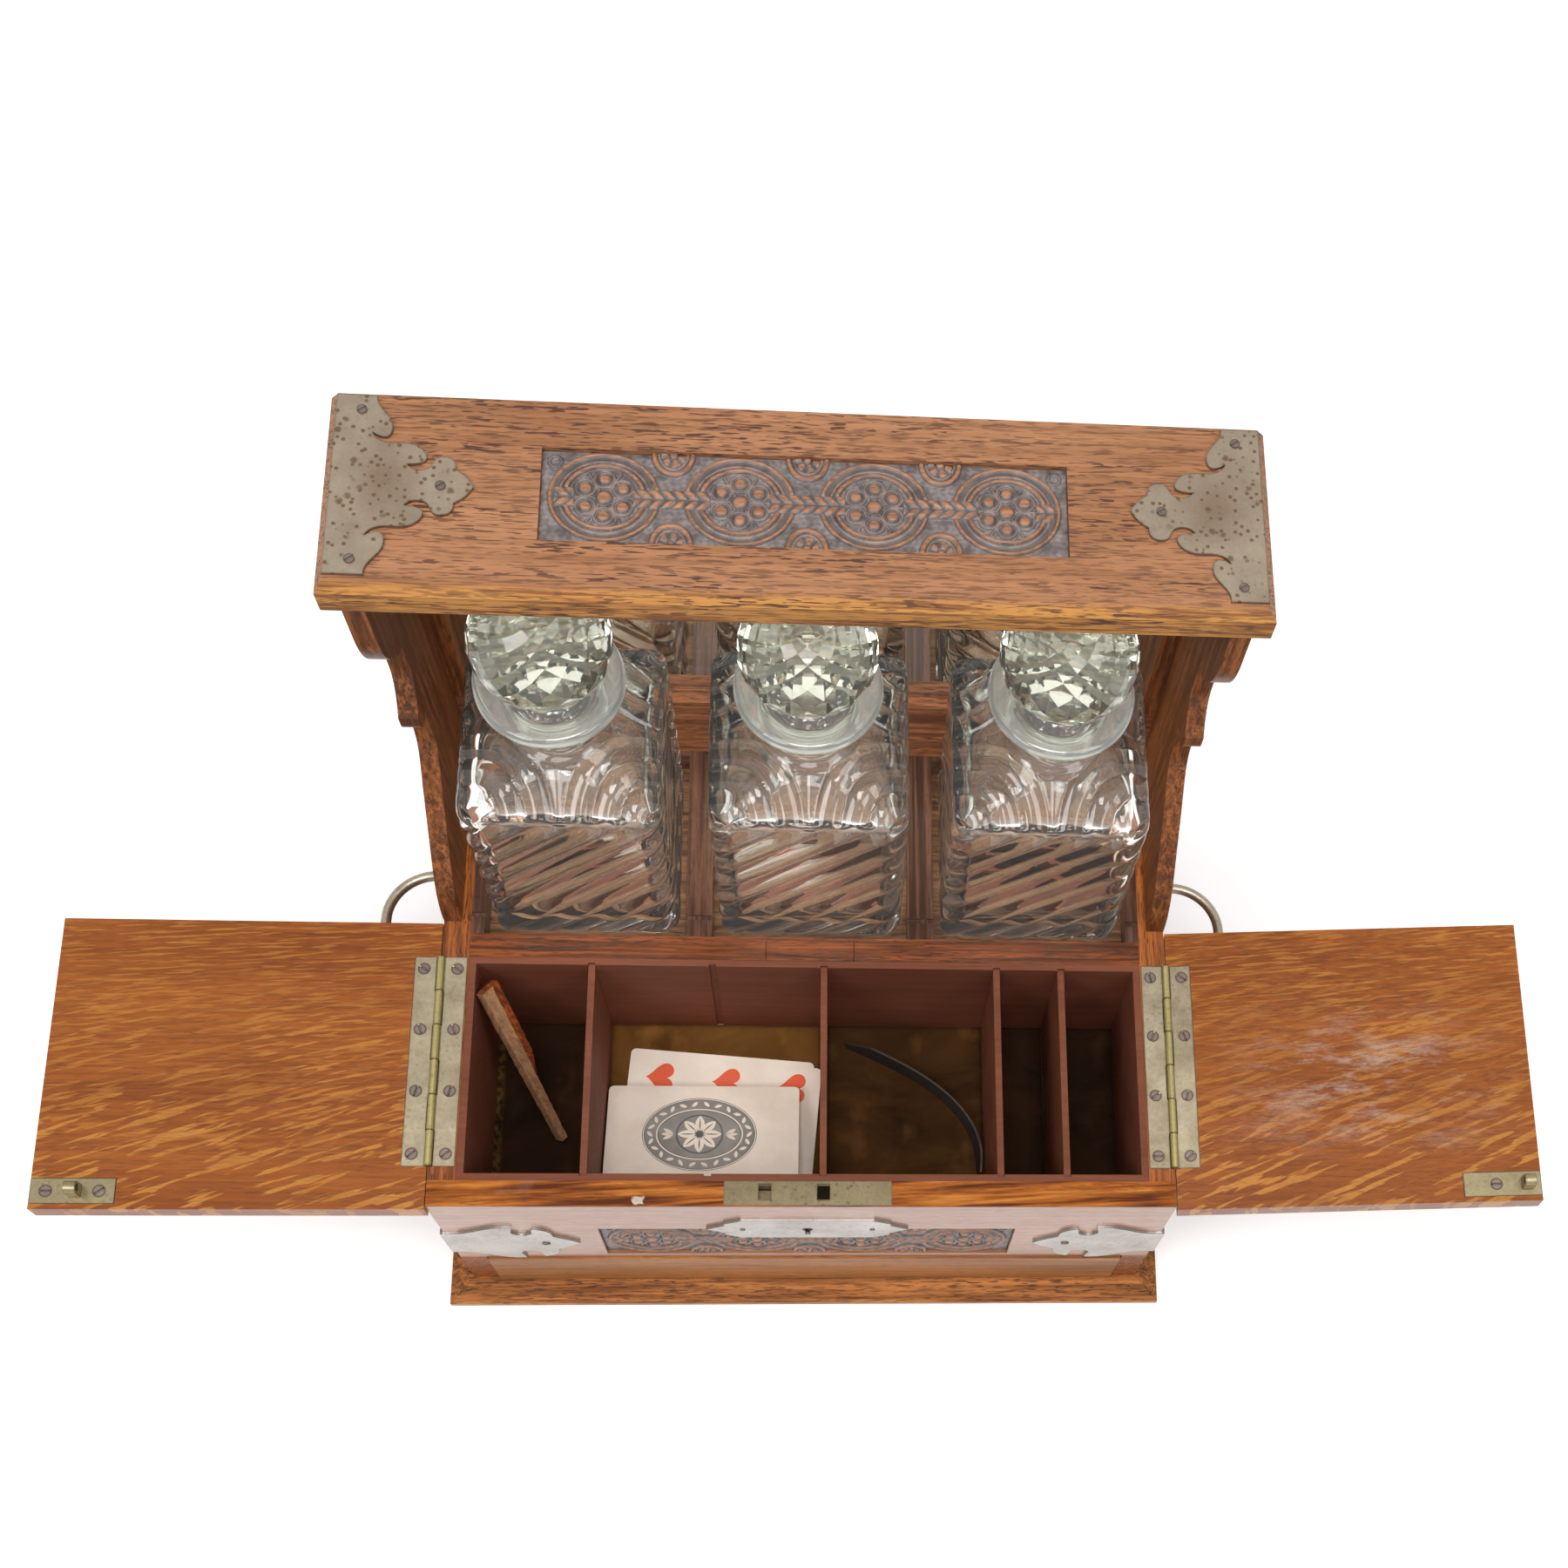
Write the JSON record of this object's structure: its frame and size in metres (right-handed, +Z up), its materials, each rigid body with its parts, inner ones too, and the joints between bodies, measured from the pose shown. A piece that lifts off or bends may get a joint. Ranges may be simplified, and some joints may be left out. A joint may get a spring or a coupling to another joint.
{
  "type": "antique tantalus",
  "caption": "Oak tantalus: lidded games box with a lockable rim, a drawer below, and stoppered square decanters under a carved canopy with a mirror back.",
  "frame": {"origin": "Centre of the case's footprint, on the surface that it stands on", "axes": "X to the right along the front, Y from the front to the back, Z up"},
  "size_m": [0.6596, 0.2534, 0.3718],
  "materials": {
    "oak_case": "waxed quarter-sawn oak, worn",
    "oak_back": "plain oak board, dark",
    "oak_gallery": "polished oak",
    "oak_canopy": "polished oak with dark pores",
    "oak_lid": "polished oak with golden ray flecks",
    "oak_carved": "carved oak, dark in the hollows",
    "deck_wood": "polished dark wood, glossy",
    "drawer_wood": "plain softwood",
    "oak_drawer_front": "waxed oak",
    "mahogany": "matte red-brown mahogany",
    "loose_wood": "plain oak offcut",
    "velvet": "worn golden-olive velvet",
    "mount_metal": "tarnished nickel-plated brass",
    "brass_plate": "dull pale brass",
    "steel": "old steel",
    "handle_metal": "tarnished plated brass",
    "decanter_glass": "clear cut glass, faintly green",
    "stopper_glass": "clear cut glass",
    "mirror": "silvered glass",
    "card": "cream card"
  },
  "bodies": {
    "case": {"base_board": "oak_case", "plinth_moulding": "oak_case", "case_side_left": "oak_case", "case_side_right": "oak_case", "front_panel": "oak_case", "dust_board": "drawer_wood", "case_back": "oak_back", "partition_board": "deck_wood", "partition_rail": "deck_wood", "deck_frame": "deck_wood", "well_floor": "deck_wood", "upper_side_left": "oak_gallery", "upper_side_right": "oak_gallery", "upper_back": "oak_back", "lower_back_panel": "oak_gallery", "mirror_rails": "oak_gallery", "mirror_stiles": "oak_gallery", "mirror_glass": "mirror", "canopy_board": "oak_canopy", "canopy_carving": "oak_carved", "front_carving": "oak_carved", "canopy_mounts": "mount_metal", "front_mounts": "mount_metal", "mount_screws": "steel", "hinge_rim_leaves": "brass_plate", "hinge_rim_screws": "steel", "hinge_pins": "steel", "lock_plate": "brass_plate", "lock_case": "brass_plate", "escutcheon": "mount_metal", "escutcheon_pins": "steel", "carrying_handles": "handle_metal", "games_floor": "drawer_wood", "liner_walls": "mahogany", "liner_ends": "mahogany", "velvet_floor": "velvet", "dividers": "mahogany", "flat_cards": "card", "loose_strip": "loose_wood", "spring_strip": "steel"},
    "left_lid": {"lid_left": "oak_lid", "lid_leaf_left": "brass_plate", "hook_plate_left": "brass_plate", "lid_screws_left": "steel"},
    "right_lid": {"lid_right": "oak_lid", "lid_leaf_right": "brass_plate", "hook_plate_right": "brass_plate", "lid_screws_right": "steel"},
    "drawer": {"drawer_front": "oak_drawer_front", "drawer_sides": "drawer_wood", "drawer_back": "drawer_wood", "drawer_bottom": "drawer_wood"},
    "bolt": {"lock_bolt": "brass_plate"},
    "bottle_left": {"decanter_left": "decanter_glass"},
    "bottle_centre": {"decanter_centre": "decanter_glass"},
    "bottle_right": {"decanter_right": "decanter_glass"},
    "ball_left": {"stopper_left": "stopper_glass"},
    "ball_centre": {"stopper_centre": "stopper_glass"},
    "ball_right": {"stopper_right": "stopper_glass"},
    "loose_pack": {"card_pack": "card"}
  },
  "joints": [
    {"name": "left_lid_hinge", "type": "hinge", "parent": "case", "child": "left_lid", "pos_m": [-0.165, -0.0528, 0.1422], "axis": [0, -1, 0], "range_deg": [-180, 0]},
    {"name": "right_lid_hinge", "type": "hinge", "parent": "case", "child": "right_lid", "pos_m": [0.165, -0.0528, 0.1422], "axis": [0, 1, 0], "range_deg": [-174, 0]},
    {"name": "drawer_slide", "type": "slide", "parent": "case", "child": "drawer", "axis": [0, -1, 0], "range_m": [0, 0.15]},
    {"name": "lock_bolt_slide", "type": "slide", "parent": "case", "child": "bolt", "axis": [1, 0, 0], "range_m": [0, 0.0056]},
    {"name": "decanter_left_lift", "type": "slide", "parent": "case", "child": "bottle_left", "axis": [0, 0, 1], "range_m": [0, 0.0154]},
    {"name": "stopper_left_turn", "type": "hinge", "parent": "bottle_left", "child": "ball_left", "pos_m": [-0.102, 0.0568, 0.2865], "axis": [0, 0, 1], "continuous": true},
    {"name": "decanter_centre_lift", "type": "slide", "parent": "case", "child": "bottle_centre", "axis": [0, 0, 1], "range_m": [0, 0.0154]},
    {"name": "stopper_centre_turn", "type": "hinge", "parent": "bottle_centre", "child": "ball_centre", "pos_m": [0, 0.0568, 0.2865], "axis": [0, 0, 1], "continuous": true},
    {"name": "decanter_right_lift", "type": "slide", "parent": "case", "child": "bottle_right", "axis": [0, 0, 1], "range_m": [0, 0.0154]},
    {"name": "stopper_right_turn", "type": "hinge", "parent": "bottle_right", "child": "ball_right", "pos_m": [0.102, 0.0568, 0.2865], "axis": [0, 0, 1], "continuous": true},
    {"name": "card_pack_lift", "type": "slide", "parent": "case", "child": "loose_pack", "axis": [0, 0, 1], "range_m": [0, 0.06]}
  ]
}
